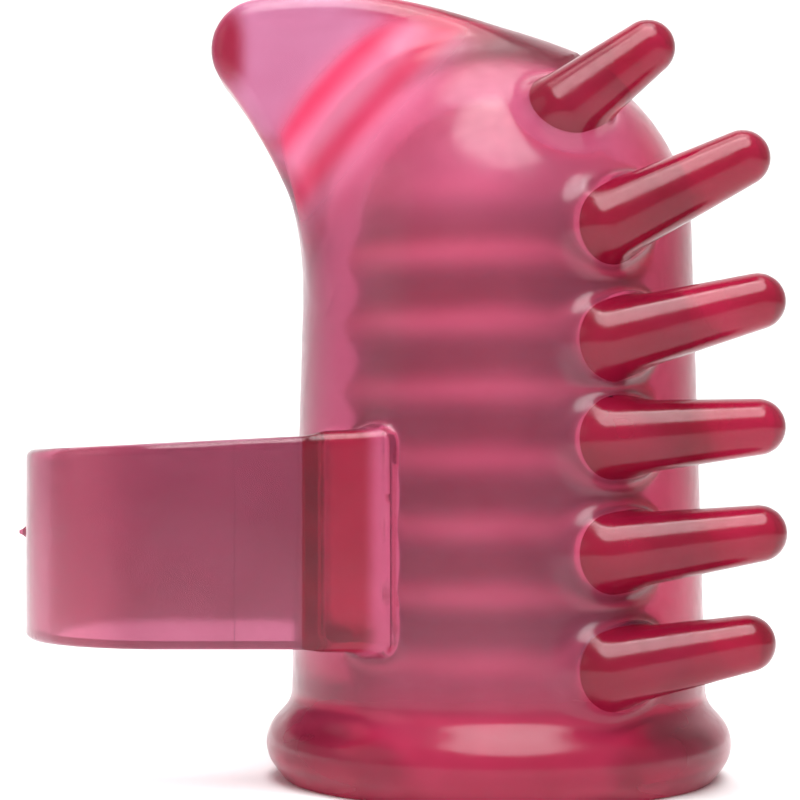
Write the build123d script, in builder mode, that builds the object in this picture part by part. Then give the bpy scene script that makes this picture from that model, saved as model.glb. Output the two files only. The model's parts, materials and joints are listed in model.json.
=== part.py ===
"""Soft finger sleeve with a beak-shaped tip, six flexible prongs and a side loop.

A clear gel sleeve is closed by a dome at its top and open at its mouth. A ribbed finger cup lines it.
The mouth's edge carries a round bead, the dome runs out into a flat-sided beak, a row of six
round-ended prongs stands on the front right, and a strap on the left makes a loop for the next finger.

Millimetres and degrees. +Z runs up the sleeve's axis, from the mouth to the dome. The origin is the
centre of the mouth, in the plane that the rim rests on. The prongs point to +X and the loop to -X.
"""

import os
from math import cos, radians, sin, sqrt

from build123d import *

# ---------------------------------------------------------------- clear sleeve
tube_top_radius = 15.4  # where the dome starts
tube_flare = 1.2  # how much wider the tube is at the mouth
dome_start_height = 42.5  # centre of the dome above the mouth

# ---------------------------------------------------------------- rim bead
rim_projection = 1.8  # out of the tube's foot
rim_height = 5.6
rim_edge_rounding = 1.6  # the bead's upper and lower outer edges

# ---------------------------------------------------------------- ribbed finger cup
bore_radius = 7.4  # at the lands that hold the finger
cup_wall = 0.8
rib_depth = 0.5
rib_pitch = 5.21
rib_width = 3.2
first_rib_height = 9.35
cup_clearance = 0.05  # between the cup's ribs and the sleeve

# ---------------------------------------------------------------- beak
beak_thickness = 9.0
beak_tip_radius = 4.0
beak_overhang = 3.3  # centre of the tip's round, beyond the tube
beak_tip_drop = 0.5  # centre of the tip's round, below the dome's top
beak_crown_rise = 3.95  # highest point of the ridge, above the dome's top
beak_crown_setback = 6.1  # the same point, nearer the axis than the tip's round
beak_ridge_start = 23.0  # angle from the dome's top to where the ridge leaves the dome
beak_edge_rounding = 1.8
tip_top_slope = 10.0  # of the ridge where it meets the tip's round
tip_under_slope = 40.0  # of the underside there, from the vertical

# ---------------------------------------------------------------- prongs
# height of the root above the dome's centre, its distance from the axis along X, lift angle, length
prong_places = [
    (8.7, 4.3, 36.9, 8.0),
    (0.1, 7.4, 26.0, 11.3),
    (-8.5, 7.4, 14.6, 11.6),
    (-15.8, 7.4, 4.8, 11.2),
    (-24.2, 7.4, 7.6, 11.3),
    (-32.7, 7.4, 10.6, 10.5),
]
prong_ball_radius = 3.0
prong_neck_radius = 2.55
prong_tip_radius = 2.1
prong_clearance = 0.05  # between a ball and its socket
prong_flex = 14.0  # how far a prong bends, up or down
prong_side_clearance = 0.35  # round the neck, over the whole bend
prong_relief_length = 7.0

# ---------------------------------------------------------------- loop
loop_thickness = 1.8
loop_outer_half_depth = 14.4
loop_finger_gap = 19.0  # between the tube and the loop's far side
loop_corner_radius = 12.0
loop_bottom_height = 11.2
loop_root_width = 16.3
loop_far_width = 14.9
loop_leg_setback = 1.55  # legs end this far before the tube comes out under them
loop_leg_end_rounding = 4.0
pad_length = 3.85  # along the leg, from where the tube comes out under it
pad_clearance = 0.1  # between a pad and the leg that lies on it
pad_tube_clearance = 0.1
pad_height_margin = 0.2  # a pad is this much shorter than the leg, at each end
nub_radius = 1.4
nub_height = 1.1
nub_taper = 45.0
nub_rise = 0.65  # above the middle of the loop's far side

os.makedirs("parts", exist_ok=True)

# ---------------------------------------------------------------- worked out
tube_foot_radius = tube_top_radius + tube_flare
rim_radius = tube_foot_radius + rim_projection
rib_count = int((dome_start_height - first_rib_height) / rib_pitch) + 1
rib_land_radius = bore_radius + cup_wall
rib_crest_radius = rib_land_radius + rib_depth
cavity_radius = rib_crest_radius + cup_clearance
dome_top_height = dome_start_height + tube_top_radius
arc_middle = radians(45)  # halfway round a quarter circle


def tube_radius(height):
    """Outer radius of the sleeve at a height above the mouth."""
    if height > dome_start_height:
        return sqrt(tube_top_radius**2 - (height - dome_start_height) ** 2)
    share = height / dome_start_height
    return tube_foot_radius + share * (tube_top_radius - tube_foot_radius)


def prong_plane(place):
    """Plane with its origin at a prong's root ball, its x along the rod and its z along the hinge."""
    rise, offset, lift, _ = place
    height = dome_start_height + rise
    root = (offset, -sqrt(tube_radius(height) ** 2 - offset**2), height)
    return Plane(origin=root, x_dir=(cos(radians(lift)), 0, sin(radians(lift))), z_dir=(0, -1, 0))


def save(part, name):
    """Label a finished piece and write it."""
    part.label = name
    export_step(part, f"parts/{name}.step")


# ---------------------------------------------------------------- envelope of tube and dome
with BuildPart() as envelope:
    with BuildSketch(Plane.XZ):
        with BuildLine():
            Polyline(
                (0, dome_top_height),
                (0, 0),
                (tube_foot_radius, 0),
                (tube_top_radius, dome_start_height),
            )
            ThreePointArc(
                (tube_top_radius, dome_start_height),
                (
                    tube_top_radius * sin(arc_middle),
                    dome_start_height + tube_top_radius * cos(arc_middle),
                ),
                (0, dome_top_height),
            )
        make_face()
    revolve(axis=Axis.Z)

# ---------------------------------------------------------------- sleeve shell
with BuildPart() as sleeve_shell:
    add(envelope.part)
    with BuildSketch(Plane.XZ):
        with BuildLine():
            Polyline(
                (0, dome_start_height + cavity_radius),
                (0, 0),
                (cavity_radius, 0),
                (cavity_radius, dome_start_height),
            )
            ThreePointArc(
                (cavity_radius, dome_start_height),
                (
                    cavity_radius * sin(arc_middle),
                    dome_start_height + cavity_radius * cos(arc_middle),
                ),
                (0, dome_start_height + cavity_radius),
            )
        make_face()
    revolve(axis=Axis.Z, mode=Mode.SUBTRACT)
    for place in prong_places:
        seat = prong_plane(place)
        with Locations(seat.origin):
            Sphere(prong_ball_radius + prong_clearance, mode=Mode.SUBTRACT)
        for bend in (-prong_flex, -prong_flex / 2, 0, prong_flex / 2, prong_flex):
            rod_direction = seat.x_dir.rotate(Axis.Y, bend)
            with BuildSketch(Plane(origin=seat.origin, z_dir=rod_direction)):
                Circle(prong_neck_radius + prong_side_clearance)
            extrude(amount=prong_relief_length, mode=Mode.SUBTRACT)
save(sleeve_shell.part, "sleeve_shell")

# ---------------------------------------------------------------- rim bead
with BuildPart() as rim_bead:
    with BuildSketch(Plane.XZ):
        with BuildLine():
            Polyline(
                (tube_radius(0), 0),
                (rim_radius, 0),
                (rim_radius, rim_height),
                (tube_radius(rim_height), rim_height),
                close=True,
            )
        make_face()
    revolve(axis=Axis.Z)
    outer_edges = rim_bead.edges().filter_by(GeomType.CIRCLE).group_by(SortBy.RADIUS)[-1]
    fillet(outer_edges, rim_edge_rounding)
save(rim_bead.part, "rim_bead")

# ---------------------------------------------------------------- ribbed finger cup
with BuildPart() as ribbed_liner:
    with BuildSketch(Plane.XZ):
        with BuildLine():
            Polyline(
                (bore_radius, dome_start_height),
                (bore_radius, 0),
                (rib_land_radius, 0),
                (rib_land_radius, dome_start_height),
            )
            ThreePointArc(
                (rib_land_radius, dome_start_height),
                (
                    rib_land_radius * sin(arc_middle),
                    dome_start_height + rib_land_radius * cos(arc_middle),
                ),
                (0, dome_start_height + rib_land_radius),
            )
            Line(
                (0, dome_start_height + rib_land_radius),
                (0, dome_start_height + bore_radius),
            )
            ThreePointArc(
                (0, dome_start_height + bore_radius),
                (
                    bore_radius * sin(arc_middle),
                    dome_start_height + bore_radius * cos(arc_middle),
                ),
                (bore_radius, dome_start_height),
            )
        make_face()
    revolve(axis=Axis.Z)
    for rib in range(rib_count):
        crest_height = first_rib_height + rib * rib_pitch
        with BuildSketch(Plane.XZ):
            with BuildLine():
                rib_foot = rib_land_radius - cup_wall / 2
                Polyline(
                    (rib_land_radius, crest_height + rib_width / 2),
                    (rib_foot, crest_height + rib_width / 2),
                    (rib_foot, crest_height - rib_width / 2),
                    (rib_land_radius, crest_height - rib_width / 2),
                )
                ThreePointArc(
                    (rib_land_radius, crest_height - rib_width / 2),
                    (rib_crest_radius, crest_height),
                    (rib_land_radius, crest_height + rib_width / 2),
                )
            make_face()
        revolve(axis=Axis.Z)
        with BuildSketch(Plane.XZ):
            with BuildLine():
                Polyline(
                    (bore_radius, crest_height + rib_width / 2),
                    (bore_radius - cup_wall / 2, crest_height + rib_width / 2),
                    (bore_radius - cup_wall / 2, crest_height - rib_width / 2),
                    (bore_radius, crest_height - rib_width / 2),
                )
                ThreePointArc(
                    (bore_radius, crest_height - rib_width / 2),
                    (bore_radius + rib_depth, crest_height),
                    (bore_radius, crest_height + rib_width / 2),
                )
            make_face()
        revolve(axis=Axis.Z, mode=Mode.SUBTRACT)
save(ribbed_liner.part, "ribbed_liner")

# ---------------------------------------------------------------- beak
ridge_angle = radians(beak_ridge_start)
ridge_foot = (
    tube_top_radius * sin(ridge_angle),
    dome_start_height + tube_top_radius * cos(ridge_angle),
)
tip_centre = Vector(-tube_top_radius - beak_overhang, dome_top_height - beak_tip_drop)
crown = (tip_centre.X + beak_crown_setback, dome_top_height + beak_crown_rise)
top_slope = radians(tip_top_slope)
under_slope = radians(tip_under_slope)
tip_top = tip_centre + Vector(-sin(top_slope), cos(top_slope)) * beak_tip_radius
tip_front = tip_centre + Vector(-beak_tip_radius, 0)
tip_under = tip_centre - Vector(cos(under_slope), sin(under_slope)) * beak_tip_radius
with BuildPart() as beak:
    with BuildSketch(Plane.XZ):
        with BuildLine():
            Spline(
                ridge_foot,
                crown,
                tip_top,
                tangents=[
                    (-cos(ridge_angle), sin(ridge_angle)),
                    (-cos(top_slope), -sin(top_slope)),
                ],
            )
            ThreePointArc(tip_top, tip_front, tip_under)
            Spline(
                tip_under,
                (-tube_top_radius, dome_start_height),
                tangents=[(sin(under_slope), -cos(under_slope)), (0, -1)],
            )
            Polyline((-tube_top_radius, dome_start_height), (0, dome_start_height), ridge_foot)
        make_face()
    extrude(amount=beak_thickness / 2, both=True)
    side_faces = beak.faces().filter_by(Axis.Y)
    ridge_edges = side_faces.edges().filter_by(GeomType.LINE, reverse=True)
    fillet(ridge_edges, beak_edge_rounding)
    add(envelope.part, mode=Mode.SUBTRACT)
save(beak.part, "beak")

# ---------------------------------------------------------------- prongs
for number, place in enumerate(prong_places, start=1):
    seat = prong_plane(place)
    length = place[3]
    neck_start = sqrt(prong_ball_radius**2 - prong_neck_radius**2)
    with BuildPart() as prong:
        with BuildSketch(seat):
            with BuildLine():
                ThreePointArc(
                    (-prong_ball_radius, 0),
                    (
                        -prong_ball_radius * cos(arc_middle),
                        prong_ball_radius * sin(arc_middle),
                    ),
                    (neck_start, prong_neck_radius),
                )
                Line((neck_start, prong_neck_radius), (length, prong_tip_radius))
                ThreePointArc(
                    (length, prong_tip_radius),
                    (
                        length + prong_tip_radius * cos(arc_middle),
                        prong_tip_radius * sin(arc_middle),
                    ),
                    (length + prong_tip_radius, 0),
                )
                Line((length + prong_tip_radius, 0), (-prong_ball_radius, 0))
            make_face()
        revolve(axis=Axis(seat.origin, seat.x_dir))
    save(prong.part, f"prong_{number}")

# ---------------------------------------------------------------- loop pads
inner_half_depth = loop_outer_half_depth - loop_thickness
pad_face = inner_half_depth - pad_clearance
tube_beside_loop = tube_radius(loop_bottom_height)
pad_start = sqrt(tube_beside_loop**2 - pad_face**2)
pad_end = pad_start + pad_length
for side, name in ((-1, "loop_pad_front"), (1, "loop_pad_back")):
    with BuildPart() as pad:
        pad_foot = loop_bottom_height + pad_height_margin
        with BuildSketch(Plane.XY.offset(pad_foot)):
            with BuildLine():
                Polyline(
                    (0, 0),
                    (0, side * pad_face),
                    (-pad_end, side * pad_face),
                    (-pad_end, 0),
                    close=True,
                )
            make_face()
        extrude(amount=loop_root_width - 2 * pad_height_margin)
        with BuildSketch(Plane.XZ):
            with BuildLine():
                Polyline(
                    (0, 0),
                    (tube_foot_radius + pad_tube_clearance, 0),
                    (tube_top_radius + pad_tube_clearance, dome_start_height),
                    (0, dome_start_height),
                    close=True,
                )
            make_face()
        revolve(axis=Axis.Z, mode=Mode.SUBTRACT)
    save(pad.part, name)

# ---------------------------------------------------------------- loop strap
loop_leg_start = pad_start + loop_leg_setback
loop_reach = tube_beside_loop + loop_finger_gap + loop_thickness
with BuildPart() as loop_strap:
    with BuildSketch(Plane.XY.offset(loop_bottom_height)):
        with BuildLine():
            FilletPolyline(
                (-loop_leg_start, -loop_outer_half_depth),
                (-loop_reach, -loop_outer_half_depth),
                (-loop_reach, loop_outer_half_depth),
                (-loop_leg_start, loop_outer_half_depth),
                radius=loop_corner_radius,
            )
            Line((-loop_leg_start, loop_outer_half_depth), (-loop_leg_start, inner_half_depth))
            FilletPolyline(
                (-loop_leg_start, inner_half_depth),
                (-loop_reach + loop_thickness, inner_half_depth),
                (-loop_reach + loop_thickness, -inner_half_depth),
                (-loop_leg_start, -inner_half_depth),
                radius=loop_corner_radius - loop_thickness,
            )
            Line((-loop_leg_start, -inner_half_depth), (-loop_leg_start, -loop_outer_half_depth))
        make_face()
    extrude(amount=loop_root_width)
    with BuildSketch(Plane.XZ):
        with BuildLine():
            Polyline(
                (-loop_leg_start, loop_bottom_height),
                (-loop_leg_start, loop_bottom_height + loop_root_width),
                (-loop_reach, loop_bottom_height + loop_far_width),
                (-loop_reach, loop_bottom_height),
                close=True,
            )
        make_face()
    extrude(amount=loop_outer_half_depth, both=True, mode=Mode.INTERSECT)
    leg_ends = loop_strap.faces().filter_by(Axis.X).group_by(Axis.X)[-1]
    fillet(leg_ends.edges().filter_by(Axis.Y), loop_leg_end_rounding)
save(loop_strap.part, "loop_strap")

# ---------------------------------------------------------------- moulding nub on the loop's far side
nub_centre_height = loop_bottom_height + loop_far_width / 2 + nub_rise
with BuildPart() as loop_nub:
    with BuildSketch(Plane(origin=(-loop_reach, 0, nub_centre_height), z_dir=(-1, 0, 0))):
        Circle(nub_radius)
    extrude(amount=nub_height, taper=nub_taper)
save(loop_nub.part, "loop_nub")
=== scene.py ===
"""A clear pink gel finger sleeve with a beak, six prongs and a side loop, on a pale floor.

The gel is one skin, described by distance functions in millimetres. It is meshed once, then cut
where the prongs and the loop start to move, so that each joint face lies against its neighbour's.
"""

import json
from math import cos, pi, radians, sin

import bpy
import bmesh
import numpy as np
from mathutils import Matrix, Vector


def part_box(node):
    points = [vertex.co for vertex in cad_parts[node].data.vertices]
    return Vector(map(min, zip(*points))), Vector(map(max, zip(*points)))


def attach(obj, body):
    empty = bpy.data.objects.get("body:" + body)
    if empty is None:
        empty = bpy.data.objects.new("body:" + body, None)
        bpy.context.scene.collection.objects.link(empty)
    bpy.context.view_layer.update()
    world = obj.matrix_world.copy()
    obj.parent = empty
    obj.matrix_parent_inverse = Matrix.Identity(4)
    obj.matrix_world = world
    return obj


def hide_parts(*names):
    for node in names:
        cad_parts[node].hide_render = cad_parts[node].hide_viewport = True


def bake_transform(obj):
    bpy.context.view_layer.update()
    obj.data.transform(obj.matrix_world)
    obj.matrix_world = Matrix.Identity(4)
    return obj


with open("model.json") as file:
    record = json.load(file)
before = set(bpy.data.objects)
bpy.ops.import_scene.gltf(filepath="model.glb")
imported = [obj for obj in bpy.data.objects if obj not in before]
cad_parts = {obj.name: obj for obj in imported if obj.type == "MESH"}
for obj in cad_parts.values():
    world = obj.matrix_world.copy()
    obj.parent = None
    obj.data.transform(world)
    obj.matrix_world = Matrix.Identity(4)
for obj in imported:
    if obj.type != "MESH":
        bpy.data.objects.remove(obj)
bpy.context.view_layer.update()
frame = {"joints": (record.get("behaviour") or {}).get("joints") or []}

MM = 0.001


def node_box(node):
    """Lowest and highest corner of a CAD node, in millimetres."""
    return [np.array(corner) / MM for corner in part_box(node)]


# ---------------------------------------------------------------- sizes, in millimetres
shell_high = node_box("sleeve_shell")[1]
rim_high = node_box("rim_bead")[1]
strap_low, strap_high = node_box("loop_strap")
nub_low, nub_high = node_box("loop_nub")

DOME_RADIUS = 15.4
DOME_HEIGHT = shell_high[2] - DOME_RADIUS
FOOT_RADIUS = shell_high[0]
BEAD_RADIUS = rim_high[2] / 2
BEAD_REACH = rim_high[0]

BORE_RADIUS = 7.4
LINER_WALL = 0.55
RIB_DEPTH = 0.75
RIB_PITCH = 5.21
RIB_WIDTH = 3.4
RIB_SHARPNESS = 1.4
FIRST_RIB = 9.35
RIB_COUNT = 7
CUP_LIP = 0.35  # the rounding of the cup's foot
CUP_ROWS = 190
CUP_ARC_ROWS = 18
CUP_TURNS = 128
MOUTH_FLARE = 1.2  # the hole for the cup widens by this much at the mouth
MOUTH_DEPTH = 0.9  # and over this height

BEAK_TIP_RADIUS = 4.0
BEAK_REACH = 3.3  # from the tube's wall out to the tip's centre
BEAK_TIP_DROP = 0.5  # from the top of the dome down to the tip's centre
CROWN_BACK = 6.1  # from the tip's centre back to the beak's highest point
CROWN_RISE = 3.9  # from the top of the dome up to that point
BEAK_TIP = Vector((-DOME_RADIUS - BEAK_REACH, shell_high[2] - BEAK_TIP_DROP))
BEAK_CROWN = Vector((BEAK_TIP.x + CROWN_BACK, shell_high[2] + CROWN_RISE))
RIDGE_LEAVE = radians(23)  # where the ridge leaves the dome, from its top
BEAK_TOP_SLOPE = radians(10)
BEAK_UNDER_SLOPE = radians(40)
BEAK_THROAT_DROP = 6.0  # the throat runs into the tube this far below the dome
RIDGE_PULLS = (7.0, 6.0)  # the handles of the outline's curves, at their start and end
CROWN_PULLS = (2.5, 2.0)
THROAT_PULLS = (5.0, Vector((-1.6, 7)))
RIDGE_POINTS, CROWN_POINTS, TIP_POINTS, THROAT_POINTS = 16, 6, 14, 14
BEAK_HALF_THICKNESS = 4.2
BEAK_EDGE = 1.7
BEAK_FILLET = 9.0
BEAK_SINK = 2.0  # the blade's spread sides run this far below the dome's skin
BEAK_BLEND = 2.0  # the fillet along the rest of the beak's foot
BEAD_FILLET = 1.4

PRONG_COUNT = 6
PRONG_ROOT_RADIUS = 2.9
PRONG_TIP_RADIUS = 2.1
PRONG_FILLET = 2.0
PRONG_REACH = PRONG_ROOT_RADIUS + 2.5  # a prong and its fillet lie this close to its axis
PRONG_CUT = 0.9  # the joint face lies this far outside the tube
PRONG_SKIRT = 1.3  # a prong's joint face takes in this much of the skin round its root,
PRONG_BEHIND = 3.0  # this far behind the root along the prong,
PRONG_BELOW = 1.5  # and this far below the joint face

STRAP_THICKNESS = 1.8
STRAP_EDGE = 0.6
STRAP_FILLET = 2.0
STRAP_CORNER = 12.0
STRAP_FAR_DROP = 1.4  # the top edge falls by this much towards the far side
LEG_END = 8.9  # the legs run over the tube up to here
PAD_END = 13.4
PAD_EDGE = 0.5
PAD_FILLET = 1.2
PAD_MARGIN = 0.6  # the wedges are this much lower than the strap, above and below
PAD_INNER = 5.0  # the wedges' inner ends, inside the tube
LEG_INNER = 10.0  # both legs lie further out than this
LOOP_MARGIN = 1.0  # round the loop, where its skin is picked out
ROOT_CUT = 15.0  # where the legs start to swing
STRAP_CUT = 20.0  # where the strap starts to tilt
NUB_RADIUS = 1.2
NUB_TIP_RADIUS = 0.35
NUB_ROOT = 0.8  # the nub starts this far inside the strap
NUB_FILLET = 0.4
NUB_REACH = 3.0

JOINT_GAP = 0.01
WAVE_TURNS = 20  # radians that a wave texture of scale 1 turns in a unit of length
SKIN_STEP = 0.4
GRID_BEFORE = np.array([1.0, 1.2, 1.1])  # the meshing grid runs this far past the skin
GRID_AFTER = np.array([3.0, 1.2, 7.0])
SMOOTH_LIMIT = 0.8  # a face's corner is smooth while the skin's normal is this close to the face's
MIDDLE_SHARE = 0.01  # how much the way to a cut's middle counts, next to the way to its plane
FLATTEST_SLOPE = 0.05  # the least squared slope that settling counts on


# ---------------------------------------------------------------- distances, in millimetres
def length(*parts):
    """Length of a vector given by its coordinates."""
    return np.sqrt(sum(part * part for part in parts))


def smooth_union(a, b, width):
    """Union of two distances, with a fillet about as wide as width."""
    share = np.clip(0.5 + 0.5 * (b - a) / width, 0, 1)
    return b + (a - b) * share - width * share * (1 - share)


def rounded_prism(outline, across, radius):
    """Distance to an outline with a thickness, its edges rounded."""
    u, v = outline + radius, across + radius
    return np.minimum(np.maximum(u, v), 0) + length(np.maximum(u, 0), np.maximum(v, 0)) - radius


def tube(x, y, z):
    """The tube, a little wider towards its mouth, and the dome on it."""
    share = np.clip(z / DOME_HEIGHT, 0, 1)
    wall = length(x, y) - FOOT_RADIUS - share * (DOME_RADIUS - FOOT_RADIUS)
    dome = length(x, y, z - DOME_HEIGHT) - DOME_RADIUS
    return np.where(z > DOME_HEIGHT, dome, wall)


def bead(x, y, z):
    """The round bead at the mouth."""
    return length(length(x, y) - BEAD_REACH + BEAD_RADIUS, z - BEAD_RADIUS) - BEAD_RADIUS


def rib_bulge(z):
    """How far the cup's wall bulges at a height, from its round ribs."""
    nearest = np.clip(np.round((z - FIRST_RIB) / RIB_PITCH), 0, RIB_COUNT - 1)
    off = (z - FIRST_RIB - nearest * RIB_PITCH) / (RIB_WIDTH / 2)
    return RIB_DEPTH * np.exp(-RIB_SHARPNESS * off * off)


def cavity(x, y, z):
    """The hole that the cup fills. It runs inside the cup's wall, and flares at the mouth."""
    middle = BORE_RADIUS + LINER_WALL / 2
    flare = MOUTH_FLARE * np.clip(1 - z / MOUTH_DEPTH, 0, 1) ** 2
    wall = length(x, y) - middle - rib_bulge(z) - flare
    dome = length(x, y, z - DOME_HEIGHT) - middle
    return np.where(z > DOME_HEIGHT, dome, wall)


def bow(a, handle_a, handle_b, b, count):
    """Points along a Bezier curve from a to b, without its last one."""
    steps = [i / count for i in range(count)]
    return [
        a * (1 - t) ** 3 + 3 * t * (1 - t) ** 2 * handle_a + 3 * t * t * (1 - t) * handle_b + b * t**3
        for t in steps
    ]


def beak_outline():
    """The beak's side view, as a closed ring of (x, z) points that ends inside the dome."""
    leave, top, under = RIDGE_LEAVE, BEAK_TOP_SLOPE, BEAK_UNDER_SLOPE
    foot = Vector((DOME_RADIUS * sin(leave), DOME_HEIGHT + DOME_RADIUS * cos(leave)))
    throat = Vector((BEAK_SINK - DOME_RADIUS, DOME_HEIGHT - BEAK_THROAT_DROP))
    rise = Vector((-cos(leave), sin(leave))) * RIDGE_PULLS[0]
    over = Vector((1, 0)) * RIDGE_PULLS[1]
    level = Vector((-1, 0)) * CROWN_PULLS[0]
    back = Vector((cos(top), sin(top))) * CROWN_PULLS[1]
    dive = Vector((sin(under), -cos(under))) * THROAT_PULLS[0]
    tip_top = BEAK_TIP + BEAK_TIP_RADIUS * Vector((-sin(top), cos(top)))
    tip_under = BEAK_TIP - BEAK_TIP_RADIUS * Vector((cos(under), sin(under)))
    turn = [pi / 2 + top + i / TIP_POINTS * (pi / 2 + under - top) for i in range(TIP_POINTS)]
    ring = bow(foot, foot + rise, BEAK_CROWN + over, BEAK_CROWN, RIDGE_POINTS)
    ring += bow(BEAK_CROWN, BEAK_CROWN + level, tip_top + back, tip_top, CROWN_POINTS)
    ring += [BEAK_TIP + BEAK_TIP_RADIUS * Vector((cos(a), sin(a))) for a in turn]
    ring += bow(tip_under, tip_under + dive, throat + THROAT_PULLS[1], throat, THROAT_POINTS)
    ring += [throat, Vector((0, DOME_HEIGHT))]
    return np.array(ring)


def ring_distance(ring, x, z):
    """Signed distance to a closed ring of points in the X-Z plane."""
    best = np.full(x.shape, 1e9)
    inside = np.zeros(x.shape, bool)
    for (x0, z0), (x1, z1) in zip(ring, np.roll(ring, -1, axis=0), strict=True):
        ex, ez = x1 - x0, z1 - z0
        along = np.clip(((x - x0) * ex + (z - z0) * ez) / (ex * ex + ez * ez), 0, 1)
        best = np.minimum(best, (x - x0 - along * ex) ** 2 + (z - z0 - along * ez) ** 2)
        if ez:
            inside ^= ((z0 <= z) != (z1 <= z)) & (x < x0 + (z - z0) / ez * ex)
    return np.where(inside, -1, 1) * np.sqrt(best)


BEAK_RING = beak_outline()


def beak(x, y, z):
    """The solid blade with flat sides that leans out of the dome, widening where it meets it."""
    side = smooth_union(np.abs(y) - BEAK_HALF_THICKNESS, tube(x, y, z) + BEAK_SINK, BEAK_FILLET)
    return rounded_prism(ring_distance(BEAK_RING, x, z), side, BEAK_EDGE)


def strap(x, y, z):
    """The flat strap: a rounded U seen from above, its top edge falling towards the far side."""
    corner = STRAP_CORNER - STRAP_THICKNESS / 2
    qx = strap_low[0] + STRAP_THICKNESS / 2 + corner - x
    qy = np.abs(y) - strap_high[1] + STRAP_THICKNESS / 2 + corner
    line = np.minimum(np.maximum(qx, qy), 0) + length(np.maximum(qx, 0), np.maximum(qy, 0)) - corner
    plan = np.maximum(np.abs(line) - STRAP_THICKNESS / 2, x + LEG_END)
    share = np.clip((-LEG_END - x) / (-LEG_END - strap_low[0]), 0, 1)
    upright = np.maximum(z - strap_high[2] + share * STRAP_FAR_DROP, strap_low[2] - z)
    return rounded_prism(plan, upright, STRAP_EDGE)


def pads(x, y, z):
    """The two wedges that fill the corners between the tube and the strap's legs."""
    outer = strap_high[1] - STRAP_THICKNESS / 2
    across = np.maximum(np.abs(y) - outer, PAD_INNER - np.abs(y))
    plan = np.maximum(np.maximum(-x - PAD_END, x + LEG_END), across)
    upright = np.maximum(z - strap_high[2], strap_low[2] - z) + PAD_MARGIN
    return rounded_prism(plan, upright, PAD_EDGE)


def rod(start, end, start_radius, end_radius):
    """A round-ended rod between two points, its radius changing evenly from end to end."""
    axis = end - start
    run = axis @ axis

    def distance(x, y, z):
        px, py, pz = x - start[0], y - start[1], z - start[2]
        t = np.clip((px * axis[0] + py * axis[1] + pz * axis[2]) / run, 0, 1)
        off = length(px - t * axis[0], py - t * axis[1], pz - t * axis[2])
        return off - start_radius - t * (end_radius - start_radius)

    return distance


def prong_axis(number):
    """Root and tip centre of a prong, from its joint and its CAD node."""
    joint = next(j for j in frame["joints"] if j["child"] == f"prong_{number}")
    root = np.array(joint["pos_m"]) / MM
    high = node_box(f"prong_{number}")[1]
    tip = np.array([high[0] - PRONG_TIP_RADIUS, root[1], high[2] - PRONG_TIP_RADIUS])
    return root, tip


prong_axes = [prong_axis(number) for number in range(1, PRONG_COUNT + 1)]

nub_height = (nub_low[2] + nub_high[2]) / 2
NUB_BASE = np.array([strap_low[0] + NUB_ROOT, 0, nub_height])
NUB_POINT = np.array([nub_low[0] + NUB_TIP_RADIUS, 0, nub_height])

nub = rod(NUB_BASE, NUB_POINT, NUB_RADIUS, NUB_TIP_RADIUS)

# what joins the tube: its distance, its fillet's width, and the corners of a box round them both
ADDED = [
    (beak, BEAK_BLEND, (-25, -17, 36), (14, 17, 66)),
    (bead, BEAD_FILLET, (-22, -22, -3), (22, 22, 9)),
    (pads, PAD_FILLET, (-17, -18, 7), (-5, 18, 32)),
    (strap, STRAP_FILLET, (-41, -18, 7), (-5, 18, 32)),
    (nub, NUB_FILLET, NUB_BASE - NUB_REACH, NUB_BASE + NUB_REACH),
]
for root, tip in prong_axes:
    prong = rod(root, tip, PRONG_ROOT_RADIUS, PRONG_TIP_RADIUS)
    low, high = np.minimum(root, tip) - PRONG_REACH, np.maximum(root, tip) + PRONG_REACH
    ADDED.append((prong, PRONG_FILLET, low, high))


def gel(x, y, z):
    """The whole gel skin."""
    found = tube(x, y, z)
    for distance, fillet, low, high in ADDED:
        near = (x > low[0]) & (x < high[0]) & (y > low[1]) & (y < high[1]) & (z > low[2]) & (z < high[2])
        if near.any():
            found[near] = smooth_union(found[near], distance(x[near], y[near], z[near]), fillet)
    return np.maximum(np.maximum(found, -z), -cavity(x, y, z))


def slope(distance, points, reach=0.01):
    """Gradient of a distance at points."""
    moves = np.eye(3) * reach
    return np.stack(
        [(distance(*(points + move).T) - distance(*(points - move).T)) / (2 * reach) for move in moves],
        axis=1,
    )


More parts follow.
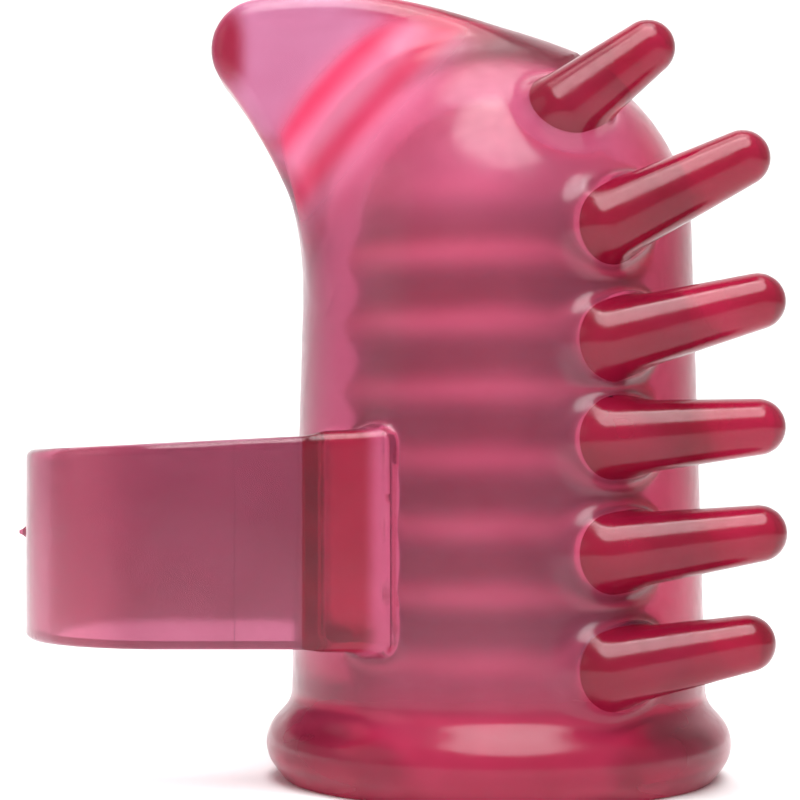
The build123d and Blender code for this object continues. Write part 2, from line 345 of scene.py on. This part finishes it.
# ---------------------------------------------------------------- meshing
def surface_net(distance, low, high, step):
    """Vertices and quads on the zero surface of a distance: one vertex in each grid cell it crosses."""
    axes = [np.arange(a, b + step, step) for a, b in zip(low, high, strict=True)]
    y, z = np.meshgrid(axes[1], axes[2], indexing="ij")
    values = np.stack([distance(np.full(y.shape, x), y, z) for x in axes[0]])
    inside = values < 0
    steps = [(i, j, k) for i in (0, 1) for j in (0, 1) for k in (0, 1)]
    shape = [n - 1 for n in values.shape]

    def corner(array, step3):
        return array[tuple(slice(s, s + n) for s, n in zip(step3, shape, strict=True))]

    count = sum(corner(inside, s).astype(np.int8) for s in steps)
    active = (count > 0) & (count < 8)
    cells = np.argwhere(active)
    index = np.full(shape, -1)
    index[active] = np.arange(len(cells))
    at = {s: corner(values, s)[active] for s in steps}
    total, crossings = np.zeros((len(cells), 3)), np.zeros(len(cells))
    for axis in range(3):
        for s in steps:
            if s[axis]:
                continue
            e = tuple(1 if i == axis else c for i, c in enumerate(s))
            crosses = (at[s] < 0) != (at[e] < 0)
            share = np.where(crosses, at[s] / np.where(crosses, at[s] - at[e], 1), 0)
            place = np.array(s, float) + share[:, None] * np.eye(3)[axis]
            total += place * crosses[:, None]
            crossings += crosses
    points = np.array(low) + step * (cells + total / crossings[:, None])
    quads = []
    for axis in range(3):
        p, q = (axis + 1) % 3, (axis + 2) % 3
        a = np.take(inside, range(values.shape[axis] - 1), axis)
        b = np.take(inside, range(1, values.shape[axis]), axis)
        edges = np.argwhere(a != b)
        edges = edges[(edges[:, p] > 0) & (edges[:, q] > 0)]
        out = a[tuple(edges.T)]
        ring = []
        for dp, dq in ((-1, -1), (0, -1), (0, 0), (-1, 0)):
            cell = edges.copy()
            cell[:, p] += dp
            cell[:, q] += dq
            ring.append(index[tuple(cell.T)])
        ring = np.stack(ring, axis=1)
        ring[~out] = ring[~out][:, ::-1]
        quads.append(ring)
    return points, np.concatenate(quads)


def settle(distance, points, limit, rounds=4):
    """Moves points onto the zero surface along its slope."""
    for _ in range(rounds):
        down = slope(distance, points)
        move = -down * (distance(*points.T) / np.maximum((down * down).sum(1), FLATTEST_SLOPE))[:, None]
        size = np.maximum(np.linalg.norm(move, axis=1), 1e-9)
        points = points + move * np.minimum(1, limit / size)[:, None]
    return points


class Cut:
    """A plane across the skin, and the stretch of skin beyond it that becomes its own piece."""

    def __init__(self, name, point, normal, near):
        self.name = name
        self.near = near
        self.point = np.array(point, float)
        self.normal = np.array(normal, float)

    def beyond(self, points):
        """How far points lie beyond the plane."""
        return (points - self.point) @ self.normal

    def distance(self, point):
        """Distance to the plane, with a little of the distance to the cut's own point."""
        return abs(self.beyond(point)) + MIDDLE_SHARE * np.linalg.norm(point - self.point)


def prong_cut(number):
    """The joint face of a prong: a plane along the tube's wall, a little outside it."""
    root, tip = prong_axes[number - 1]
    outward = slope(tube, root[None])[0]
    outward /= np.linalg.norm(outward)
    foot = root - outward * tube(*root[:, None])[0]
    axis = (tip - root) / np.linalg.norm(tip - root)

    def near(points):
        along = (points - root) @ axis
        off = np.linalg.norm(points - root - along[:, None] * axis, axis=1)
        outside = (points - foot) @ outward
        beside = off < PRONG_ROOT_RADIUS + PRONG_SKIRT
        return beside & (along > -PRONG_BEHIND) & (outside > PRONG_CUT - PRONG_BELOW)

    return Cut(f"gel_prong_{number}", foot + outward * PRONG_CUT, outward, near)


def loop_cut(name, depth):
    """A plane across both legs of the loop, this far to the side of the tube's axis."""

    def near(points):
        x, y, z = points.T
        at_height = (z > strap_low[2] - LOOP_MARGIN) & (z < strap_high[2] + LOOP_MARGIN)
        return at_height & (x < LOOP_MARGIN - depth) & ((np.abs(y) > LEG_INNER) | (x < -STRAP_CUT))

    return Cut(name, (-depth, 0, (strap_low[2] + strap_high[2]) / 2), (-1, 0, 0), near)


cuts = [loop_cut("gel_strap", STRAP_CUT), loop_cut("gel_roots", ROOT_CUT)]
cuts += [prong_cut(number) for number in range(1, PRONG_COUNT + 1)]


def whole_skin():
    """The skin's mesh, before it is cut."""
    reach = max(tip[0] for _, tip in prong_axes)
    low = np.array([nub_low[0], -BEAD_REACH, 0]) - GRID_BEFORE
    high = np.array([reach, BEAD_REACH, shell_high[2]]) + GRID_AFTER
    points, quads = surface_net(gel, low, high, SKIN_STEP)
    points = settle(gel, points, SKIN_STEP / 2)
    mesh = bpy.data.meshes.new("skin")
    mesh.from_pydata(points.tolist(), [], quads.tolist())
    skin = bmesh.new()
    skin.from_mesh(mesh)
    bpy.data.meshes.remove(mesh)
    return skin


def cut_skin():
    """Cuts the skin. Gives its points, its faces and the number of each face's piece."""
    skin = whole_skin()
    part = skin.faces.layers.int.new("part")
    for number, cut in enumerate(cuts, start=1):
        skin.faces.ensure_lookup_table()
        centres = np.array([face.calc_center_median() for face in skin.faces])
        chosen = [skin.faces[i] for i in np.flatnonzero(cut.near(centres))]
        chosen = [face for face in chosen if face[part] == 0]
        for face in chosen:
            face[part] = number
        edges = {edge for face in chosen for edge in face.edges}
        verts = {vert for face in chosen for vert in face.verts}
        bmesh.ops.bisect_plane(
            skin,
            geom=chosen + list(edges) + list(verts),
            dist=1e-4,
            plane_co=cut.point,
            plane_no=cut.normal,
        )
        for face in skin.faces:
            if face[part] == number and cut.beyond(np.array(face.calc_center_median())) < 0:
                face[part] = 0
    skin.verts.index_update()
    points = np.array([vert.co for vert in skin.verts])
    faces = [[vert.index for vert in face.verts] for face in skin.faces]
    parts = np.array([face[part] for face in skin.faces])
    skin.free()
    return points, faces, parts


def boundary_rings(faces):
    """The closed rings of open edges, each in the order that caps it."""
    edges = dict.fromkeys(
        edge for face in faces for edge in zip(face, face[1:] + face[:1], strict=True)
    )
    following = {b: a for a, b in edges if (b, a) not in edges}
    rings = []
    while following:
        start, at = following.popitem()
        ring = [start]
        while at != start:
            ring.append(at)
            at = following.pop(at)
        rings.append(ring)
    return rings


def new_object(name, points, faces, normals=None):
    """An object made of points in millimetres, smooth shaded."""
    mesh = bpy.data.meshes.new(name)
    mesh.from_pydata((np.asarray(points) * MM).tolist(), [], faces)
    mesh.polygons.foreach_set("use_smooth", [True] * len(faces))
    if normals is not None:
        mesh.normals_split_custom_set(normals)
    mesh.update()
    piece = bpy.data.objects.new(name, mesh)
    bpy.context.scene.collection.objects.link(piece)
    return piece


def gel_piece(name, points, faces):
    """A closed piece of the skin: its joint faces are capped and stand half a gap back."""
    used = sorted({index for face in faces for index in face})
    place = {index: i for i, index in enumerate(used)}
    faces = [[place[index] for index in face] for face in faces]
    points = points[used]
    normals = slope(gel, points)
    normals /= np.maximum(np.linalg.norm(normals, axis=1), 1e-9)[:, None]
    rings = boundary_rings(faces)
    corners = []
    for face in faces:
        a, b, c = (points[face[i]] for i in (0, 1, len(face) - 1))
        flat = np.cross(b - a, c - a)
        flat /= max(np.linalg.norm(flat), 1e-12)
        corners += [normals[i] if normals[i] @ flat > SMOOTH_LIMIT else flat for i in face]
    for ring in rings:
        middle = points[ring].mean(axis=0)
        cut = min(cuts, key=lambda c: c.distance(middle))
        inward = cut.normal if name == cut.name else -cut.normal
        points[ring] += inward * JOINT_GAP / 2
        corners += [-inward] * len(ring)
    return new_object(name, points, faces + rings, corners)


# ---------------------------------------------------------------- the cup
def cup_profile():
    """The cup's section from its foot up the outside to the top, and down the inside."""
    land = BORE_RADIUS + LINER_WALL
    heights = np.linspace(0, DOME_HEIGHT, CUP_ROWS)
    arc = np.linspace(0, pi / 2, CUP_ARC_ROWS)[1:-1]

    def rounding(z):
        return CUP_LIP * max(0, 1 - z / CUP_LIP) ** 2

    outside = [(land + rib_bulge(z) - rounding(z), z) for z in heights]
    over = [(land * cos(a), DOME_HEIGHT + land * sin(a)) for a in arc]
    under = [(BORE_RADIUS * cos(a), DOME_HEIGHT + BORE_RADIUS * sin(a)) for a in arc[::-1]]
    inside = [(BORE_RADIUS + rib_bulge(z) + rounding(z), z) for z in heights[::-1]]
    return outside + over, under + inside


def turned(name, outside, inside, count):
    """A closed shell turned about the tube's axis from its outer and inner sections."""
    section = outside + [(0, DOME_HEIGHT + BORE_RADIUS + LINER_WALL)]
    section += [(0, DOME_HEIGHT + BORE_RADIUS)] + inside
    points, rows = [], []
    for radius, height in section:
        turns = count if radius else 1
        angles = [2 * pi * i / count for i in range(turns)]
        rows.append(range(len(points), len(points) + turns))
        points += [(radius * cos(a), radius * sin(a), height) for a in angles]
    faces = []
    for below, above in zip(rows, rows[1:] + rows[:1], strict=True):
        if len(below) == len(above) == 1:
            continue
        for i in range(count):
            j = (i + 1) % count
            ring = [below[i % len(below)], below[j % len(below)]]
            ring += [above[j % len(above)], above[i % len(above)]]
            faces.append(list(dict.fromkeys(ring)))
    return new_object(name, points, faces)


# ---------------------------------------------------------------- materials
def new_material(name):
    """A material with its node tree's Principled shader and output."""
    material = bpy.data.materials.new(name)
    material.use_nodes = True
    tree = material.node_tree
    tree.nodes.clear()
    shader = tree.nodes.new("ShaderNodeBsdfPrincipled")
    output = tree.nodes.new("ShaderNodeOutputMaterial")
    tree.links.new(shader.outputs["BSDF"], output.inputs["Surface"])
    return material, tree, shader, output


NOISE_LOW, NOISE_HIGH = 0.3, 0.7  # what most of a noise lies between


def noise(tree, scale, detail=3, distortion=0.0):
    """Noise over the object's own space, its scale in waves per metre."""
    place = tree.nodes.new("ShaderNodeTexCoord")
    texture = tree.nodes.new("ShaderNodeTexNoise")
    texture.inputs["Scale"].default_value = scale
    texture.inputs["Detail"].default_value = detail
    texture.inputs["Distortion"].default_value = distortion
    tree.links.new(place.outputs["Object"], texture.inputs["Vector"])
    return texture.outputs["Fac"]


def spread(tree, value, low, high):
    """Stretches a noise value over a range."""
    node = tree.nodes.new("ShaderNodeMapRange")
    node.inputs["From Min"].default_value = NOISE_LOW
    node.inputs["From Max"].default_value = NOISE_HIGH
    node.inputs["To Min"].default_value = low
    node.inputs["To Max"].default_value = high
    tree.links.new(value, node.inputs["Value"])
    return node.outputs["Result"]


def tinted(tree, value, low, high):
    """A colour that goes from low to high with a noise value."""
    node = tree.nodes.new("ShaderNodeMix")
    node.data_type = "RGBA"
    node.inputs["A"].default_value = (*low, 1)
    node.inputs["B"].default_value = (*high, 1)
    tree.links.new(spread(tree, value, 0, 1), node.inputs["Factor"])
    return node.outputs["Result"]


def bump(tree, shader, value, depth):
    """Bumps the surface by a noise value, its depth in metres."""
    node = tree.nodes.new("ShaderNodeBump")
    node.inputs["Strength"].default_value = 1
    node.inputs["Distance"].default_value = depth
    tree.links.new(value, node.inputs["Height"])
    tree.links.new(node.outputs["Normal"], shader.inputs["Normal"])


def toward(tree, direction, start, end, mirrored=False):
    """Goes from 0 to 1 between two distances in millimetres from the dome's centre along a direction."""
    place = tree.nodes.new("ShaderNodeTexCoord")
    shift = tree.nodes.new("ShaderNodeVectorMath")
    shift.operation = "SUBTRACT"
    shift.inputs[1].default_value = (0, 0, DOME_HEIGHT * MM)
    tree.links.new(place.outputs["Object"], shift.inputs[0])
    found = shift.outputs["Vector"]
    if mirrored:
        both = tree.nodes.new("ShaderNodeVectorMath")
        both.operation = "ABSOLUTE"
        tree.links.new(found, both.inputs[0])
        found = both.outputs["Vector"]
    along = tree.nodes.new("ShaderNodeVectorMath")
    along.operation = "DOT_PRODUCT"
    along.inputs[1].default_value = direction
    ramp = tree.nodes.new("ShaderNodeMapRange")
    ramp.interpolation_type = "SMOOTHSTEP"
    ramp.inputs["From Min"].default_value = start * MM
    ramp.inputs["From Max"].default_value = end * MM
    tree.links.new(found, along.inputs[0])
    tree.links.new(along.outputs["Value"], ramp.inputs["Value"])
    return ramp.outputs["Result"]


def blended(tree, share, first, second):
    """Mixes one colour output into another by a share."""
    node = tree.nodes.new("ShaderNodeMix")
    node.data_type = "RGBA"
    tree.links.new(share, node.inputs["Factor"])
    tree.links.new(first, node.inputs["A"])
    tree.links.new(second, node.inputs["B"])
    return node.outputs["Result"]


def streaks(tree, direction, pitch):
    """Soft bands across a direction, a few millimetres apart and bent by noise, from 0 to 1."""
    place = tree.nodes.new("ShaderNodeTexCoord")
    along = tree.nodes.new("ShaderNodeVectorMath")
    along.operation = "DOT_PRODUCT"
    along.inputs[1].default_value = direction
    row = tree.nodes.new("ShaderNodeCombineXYZ")
    wave = tree.nodes.new("ShaderNodeTexWave")
    wave.inputs["Scale"].default_value = 2 * pi / (pitch * MM) / WAVE_TURNS
    wave.inputs["Distortion"].default_value = 1.5
    wave.inputs["Detail Scale"].default_value = 0.4
    tree.links.new(place.outputs["Object"], along.inputs[0])
    tree.links.new(along.outputs["Value"], row.inputs["X"])
    tree.links.new(row.outputs["Vector"], wave.inputs["Vector"])
    return wave.outputs["Fac"]


def combined(tree, operation, first, second):
    """A maths node on two shares."""
    node = tree.nodes.new("ShaderNodeMath")
    node.operation = operation
    tree.links.new(first, node.inputs[0])
    tree.links.new(second, node.inputs[1])
    return node.outputs["Value"]


def between(tree, share, low, high):
    """Goes from low to high with a share."""
    node = tree.nodes.new("ShaderNodeMapRange")
    node.inputs["To Min"].default_value = low
    node.inputs["To Max"].default_value = high
    tree.links.new(share, node.inputs["Value"])
    return node.outputs["Result"]


def gel_material(name, clearness, mirroring, roughness, tints, absorbed, density, add_zones=None):
    """Soft clear gel: moulded skin with faint waves, tinted through its depth."""
    material, tree, shader, output = new_material(name)
    shader.inputs["Transmission Weight"].default_value = clearness
    shader.inputs["IOR"].default_value = 1.41
    shader.inputs["Specular IOR Level"].default_value = mirroring
    waves = noise(tree, 160, 2, 0.4)
    fine = noise(tree, 900, 3)
    colour = tinted(tree, waves, *tints)
    if add_zones:
        colour = add_zones(tree, waves, colour, shader)
    tree.links.new(colour, shader.inputs["Base Color"])
    tree.links.new(spread(tree, fine, *roughness), shader.inputs["Roughness"])
    bump(tree, shader, waves, 0.00006)
    volume = tree.nodes.new("ShaderNodeVolumeAbsorption")
    volume.inputs["Color"].default_value = (*absorbed, 1)
    volume.inputs["Density"].default_value = density
    tree.links.new(volume.outputs["Volume"], output.inputs["Volume"])
    return material


UP, DOWN, ACROSS = (0, 0, 1), (0, 0, -1), (0, 1, 0)
TO_PRONGS, TO_LOOP = (1, 0, 0), (-1, 0, 0)
TO_BEAK_TIP = (-0.75, 0, 0.66)
TO_RIDGE = (0.35, 0, 0.94)
TO_WEDGES = (0.707, 0.707, 0)
STREAK_PITCH = 4.2
GEL_CLEARNESS = 0.85
MILKY_CLEARNESS = 0.50  # in the beak's root and in the bead


def sleeve_zones(tree, waves, colour, shader):
    """The deeper, milkier tints of the beak, the bead and the wedges under the loop's legs."""
    bright = tinted(tree, waves, (0.78, 0.07, 0.18), (0.70, 0.05, 0.13))
    dark = tinted(tree, waves, (0.54, 0.035, 0.10), (0.44, 0.025, 0.075))
    wedge = tinted(tree, waves, (0.38, 0.02, 0.065), (0.30, 0.014, 0.045))
    rim = tinted(tree, waves, (0.56, 0.03, 0.10), (0.46, 0.022, 0.075))
    facet = tinted(tree, waves, (0.62, 0.24, 0.41), (0.55, 0.19, 0.34))
    half = BEAK_HALF_THICKNESS
    side = toward(tree, ACROSS, half - 1.8, half - 0.4, mirrored=True)
    fillet = toward(tree, ACROSS, half + 0.02, half + 0.5, mirrored=True)
    pale = tinted(tree, waves, (0.78, 0.23, 0.38), (0.70, 0.17, 0.31))
    root = blended(tree, streaks(tree, TO_BEAK_TIP, STREAK_PITCH), bright, pale)
    blade = blended(tree, fillet, blended(tree, side, bright, facet), root)
    in_beak = toward(tree, TO_BEAK_TIP, 9.0, 14.0)
    in_rim = toward(tree, DOWN, DOME_HEIGHT - 14, DOME_HEIGHT - 4)
    colour = blended(tree, toward(tree, UP, DOME_RADIUS - 6, DOME_RADIUS), colour, dark)
    colour = blended(tree, in_beak, colour, blade)
    colour = blended(tree, toward(tree, TO_RIDGE, 12.6, 14.2), colour, dark)
    colour = blended(tree, in_rim, colour, rim)
    colour = blended(tree, toward(tree, TO_PRONGS, 7, 12), colour, dark)
    colour = blended(tree, toward(tree, TO_WEDGES, 16.7, 17.8, mirrored=True), colour, wedge)
    milky = combined(tree, "MAXIMUM", combined(tree, "MULTIPLY", in_beak, fillet), in_rim)
    clearness = between(tree, milky, GEL_CLEARNESS, MILKY_CLEARNESS)
    tree.links.new(clearness, shader.inputs["Transmission Weight"])
    return colour


def loop_zones(tree, waves, colour, _shader):
    """The strap is painted paler where it turns, on the far side: painted light where the strap curves
    away.
    """
    bow_painted_light = tinted(tree, waves, (0.60, 0.17, 0.27), (0.52, 0.13, 0.22))
    return blended(tree, toward(tree, TO_LOOP, 27, 32), colour, bow_painted_light)


CREST_HIGHLIGHT_POWER = 1.8  # above 1, the painted highlights on the crests are narrower than the painted shade in the valleys


def rib_light_wave(tree):
    """Goes from 0 between the ribs to 1 on their crests, and places the cup's painted shade and painted
    highlights.
    """
    place = tree.nodes.new("ShaderNodeTexCoord")
    wave = tree.nodes.new("ShaderNodeTexWave")
    wave.bands_direction = "Z"
    wave.wave_profile = "SIN"
    wave.inputs["Scale"].default_value = 2 * pi / (RIB_PITCH * MM) / WAVE_TURNS
    wave.inputs["Phase Offset"].default_value = pi - 2 * pi * (FIRST_RIB / RIB_PITCH % 1)
    tree.links.new(place.outputs["Object"], wave.inputs["Vector"])
    crest_highlight = tree.nodes.new("ShaderNodeMath")
    crest_highlight.operation = "POWER"
    crest_highlight.inputs[1].default_value = CREST_HIGHLIGHT_POWER
    tree.links.new(wave.outputs["Fac"], crest_highlight.inputs[0])
    return crest_highlight.outputs["Value"]


def cup_material(name):
    """Matte moulded rubber with a fine grain, its colour painted with shade in the valleys between the
    ribs, highlights on the rib crests and a pale highlight over its top.
    """
    material, tree, shader, _ = new_material(name)
    cloud = noise(tree, 120, 3)
    grain = noise(tree, 2600, 2)
    # painted light: the pale crest colour is a painted highlight on each rib, the dark valley colour is
    # painted shade between the ribs
    crest_highlight = tinted(tree, cloud, (0.97, 0.56, 0.56), (0.99, 0.64, 0.63))
    valley_shade = tinted(tree, cloud, (0.28, 0.015, 0.025), (0.35, 0.022, 0.035))
    rib_light_and_shade = blended(tree, rib_light_wave(tree), valley_shade, crest_highlight)
    # painted highlight: the cup's top is painted near-white, standing in for the key light glowing through
    # the dome
    top = tinted(tree, cloud, (0.99, 0.88, 0.90), (0.99, 0.93, 0.95))
    colour = blended(tree, toward(tree, UP, -2, 6), rib_light_and_shade, top)
    tree.links.new(colour, shader.inputs["Base Color"])
    tree.links.new(spread(tree, grain, 0.30, 0.42), shader.inputs["Roughness"])
    bump(tree, shader, grain, 0.00002)
    return material


# ---------------------------------------------------------------- the pieces
wall_absorbs = (0.8, 0.3, 0.45)
wall_tints = ((0.62, 0.165, 0.30), (0.54, 0.12, 0.24))
prong_tints = ((0.39, 0.008, 0.05), (0.27, 0.004, 0.025))
loop_tints = ((0.44, 0.11, 0.20), (0.38, 0.085, 0.16))
clear_gel = gel_material(
    "clear_gel", GEL_CLEARNESS, 0.25, (0.16, 0.26), wall_tints, wall_absorbs, 40, sleeve_zones
)
prong_gel = gel_material("prong_gel", 0.55, 0.4, (0.14, 0.24), prong_tints, (0.9, 0.1, 0.25), 120)
loop_gel = gel_material("loop_gel", 0.80, 0.4, (0.10, 0.18), loop_tints, wall_absorbs, 40, loop_zones)
cup_matte = cup_material("cup_matte")

skin_points, skin_faces, skin_parts = cut_skin()


def make_piece(number, name, material):
    """Makes one piece of the skin from the faces with its number."""
    own = [skin_faces[i] for i in np.flatnonzero(skin_parts == number)]
    piece = gel_piece(name, skin_points, own)
    piece.data.materials.append(material)
    return piece


sleeve = make_piece(0, "gel_sleeve", clear_gel)
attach(sleeve, "sleeve")
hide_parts("sleeve_shell", "beak", "rim_bead")

cup = turned("ribbed_cup", *cup_profile(), CUP_TURNS)
cup.data.materials.append(cup_matte)
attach(cup, "sleeve")
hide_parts("ribbed_liner")

strap_piece = make_piece(1, "gel_strap", loop_gel)
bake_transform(strap_piece)
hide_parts("loop_strap", "loop_nub")

roots = make_piece(2, "gel_roots", loop_gel)
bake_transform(roots)
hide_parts("loop_pad_front", "loop_pad_back")

for number in range(1, PRONG_COUNT + 1):
    body = f"prong_{number}"
    cut = cuts[number + 1]
    piece = make_piece(number + 2, cut.name, prong_gel)
    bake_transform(piece)
    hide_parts(body)


# ---------------------------------------------------------------- floor, light and camera
def stage_material():
    """A pale matte sweep."""
    material, tree, shader, _ = new_material("stage_pale")
    cloud = noise(tree, 3, 2)
    tree.links.new(tinted(tree, cloud, (0.93, 0.93, 0.93), (0.95, 0.95, 0.95)), shader.inputs["Base Color"])
    shader.inputs["Roughness"].default_value = 0.8
    return material


def sweep(name):
    """A floor that curves up into a wall behind the object, its sizes in metres."""
    front, depth, radius, top, half = -1.2, 0.35, 0.25, 1.2, 1.6
    line = [(front, 0.0)]
    line += [(depth + radius * sin(a), radius * (1 - cos(a))) for a in np.linspace(0, pi / 2, 16)]
    line += [(depth + radius, top)]
    points = [(x / MM, y / MM, z / MM) for y, z in line for x in (-half, half)]
    faces = [[i, i + 1, i + 3, i + 2] for i in range(0, len(points) - 2, 2)]
    floor = new_object(name, points, faces)
    floor.data.materials.append(stage_material())
    return floor


sweep("sweep")


def softbox(name, place, aim, size, power):
    """A round area light that faces a point."""
    light = bpy.data.lights.new(name, "AREA")
    light.shape = "DISK"
    light.size = size
    light.energy = power
    lamp = bpy.data.objects.new(name, light)
    lamp.location = place
    lamp.rotation_euler = (Vector(aim) - Vector(place)).to_track_quat("-Z", "Y").to_euler()
    bpy.context.scene.collection.objects.link(lamp)


MIDDLE = (-0.005, 0, 0.03)
softbox("key", (0.02, -0.22, 0.45), MIDDLE, 0.42, 3.4)
softbox("side", (-0.45, -0.15, 0.20), MIDDLE, 0.35, 0.2)
softbox("back", (0.0, 0.10, 0.80), (0, 0.6, 0.25), 0.60, 3.5)

world = bpy.data.worlds.new("studio")
world.use_nodes = True
sky = world.node_tree.nodes["Background"]
sky.inputs["Color"].default_value = (1, 1, 1, 1)
sky.inputs["Strength"].default_value = 0.50
bpy.context.scene.world = world
bpy.context.scene.view_settings.view_transform = "Standard"

CAMERA_PLACE = (-0.0078, -0.186, 0.0274)
CAMERA_TILT = radians(90.74)
lens = bpy.data.cameras.new("camera")
lens.lens = 104.9
lens.sensor_width = 36
lens.clip_start = 0.01
lens.clip_end = 10
camera = bpy.data.objects.new("camera", lens)
camera.location = CAMERA_PLACE
camera.rotation_euler = (CAMERA_TILT, 0, 0)
bpy.context.scene.collection.objects.link(camera)
bpy.context.scene.camera = camera
